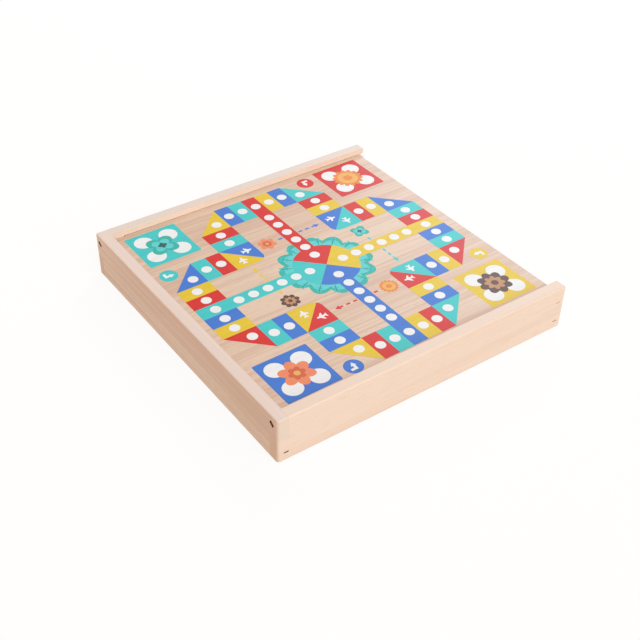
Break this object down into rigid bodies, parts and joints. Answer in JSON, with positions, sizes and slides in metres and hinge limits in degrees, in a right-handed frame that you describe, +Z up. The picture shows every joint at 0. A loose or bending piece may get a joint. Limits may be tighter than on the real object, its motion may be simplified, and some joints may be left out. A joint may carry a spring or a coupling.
{
  "type": "game compendium box",
  "caption": "Flat square wooden games box whose printed board slides out as the lid, with inner troughs for playing men, draughts and dice.",
  "frame": {"origin": "middle of the box's outline, on the plane of its underside", "axes": "+Z up out of the lid; +X the way the lid slides out, over the low wall; +Y from the front wall to the rear wall"},
  "size_m": [0.28, 0.28, 0.04],
  "materials": {
    "wall_wood": "sanded, clear matt lacquer",
    "plywood": "sanded, clear matt lacquer",
    "brad_steel": "dull bare steel",
    "red_lacquer": "gloss lacquer on turned wood",
    "yellow_lacquer": "gloss lacquer on turned wood",
    "blue_lacquer": "gloss lacquer on turned wood",
    "teal_lacquer": "gloss lacquer on turned wood",
    "light_wood": "waxed",
    "dark_wood": "stained and waxed",
    "white_lacquer": "gloss lacquer on wood"
  },
  "bodies": {
    "case": {"front_wall": "wall_wood", "rear_wall": "wall_wood", "left_wall": "wall_wood", "right_wall": "wall_wood", "floor_panel": "plywood", "front_divider": "plywood", "rear_divider": "plywood", "front_left_cross": "plywood", "front_right_cross": "plywood", "rear_left_cross": "plywood", "rear_right_cross": "plywood", "left_brads": "brad_steel", "front_brads": "brad_steel", "rear_brads": "brad_steel", "red_man_1": "red_lacquer", "red_man_2": "red_lacquer", "red_man_3": "red_lacquer", "red_man_4": "red_lacquer", "yellow_man_1": "yellow_lacquer", "yellow_man_2": "yellow_lacquer", "yellow_man_3": "yellow_lacquer", "yellow_man_4": "yellow_lacquer", "blue_man_1": "blue_lacquer", "blue_man_2": "blue_lacquer", "blue_man_3": "blue_lacquer", "blue_man_4": "blue_lacquer", "teal_man_1": "teal_lacquer", "teal_man_2": "teal_lacquer", "teal_man_3": "teal_lacquer", "teal_man_4": "teal_lacquer", "light_draught_1": "light_wood", "light_draught_2": "light_wood", "light_draught_3": "light_wood", "light_draught_4": "light_wood", "light_draught_5": "light_wood", "light_draught_6": "light_wood", "light_draught_7": "light_wood", "light_draught_8": "light_wood", "light_draught_9": "light_wood", "light_draught_10": "light_wood", "light_draught_11": "light_wood", "light_draught_12": "light_wood", "dark_draught_1": "dark_wood", "dark_draught_2": "dark_wood", "dark_draught_3": "dark_wood", "dark_draught_4": "dark_wood", "dark_draught_5": "dark_wood", "dark_draught_6": "dark_wood", "dark_draught_7": "dark_wood", "dark_draught_8": "dark_wood", "dark_draught_9": "dark_wood", "dark_draught_10": "dark_wood", "dark_draught_11": "dark_wood", "dark_draught_12": "dark_wood", "die_1": "white_lacquer", "die_2": "white_lacquer"},
    "lid": {"sliding_lid": "plywood"}
  },
  "joints": [
    {"name": "lid_slide", "type": "slide", "parent": "case", "child": "lid", "axis": [1, 0, 0], "range_m": [0, 0.27]}
  ]
}
